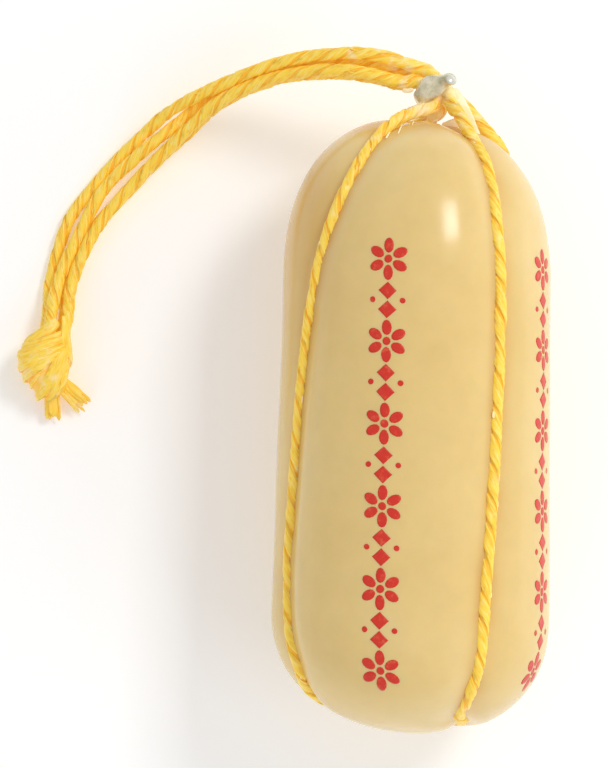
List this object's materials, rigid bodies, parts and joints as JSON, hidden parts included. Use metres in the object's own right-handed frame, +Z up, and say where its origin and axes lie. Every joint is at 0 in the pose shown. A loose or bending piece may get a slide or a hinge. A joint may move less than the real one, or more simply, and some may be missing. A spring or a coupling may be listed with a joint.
{
  "type": "provolone cheese",
  "caption": "Small waxed provolone, tied lengthwise with yellow twine that is crimped in a metal clip and ends in a knotted tail.",
  "frame": {"origin": "middle of the flat strip that the cheese rests on, below its axis and halfway along", "axes": "+Y along the cheese towards the clip, +Z up with the shown side on top, +X to the right seen from above"},
  "size_m": [0.1366, 0.1711, 0.0689],
  "materials": {
    "rind": "smooth wax over cheese, satin",
    "twine": "two-ply fibrillated film twine, silky",
    "clip_metal": "wire pressed flat under a film of wax"
  },
  "bodies": {
    "root": {"cheese": "rind", "string_a": "twine", "string_b": "twine", "clip": "clip_metal", "tail_1": "twine", "tail_2": "twine", "tail_3": "twine", "tail_4": "twine", "knot": "twine"}
  },
  "joints": []
}
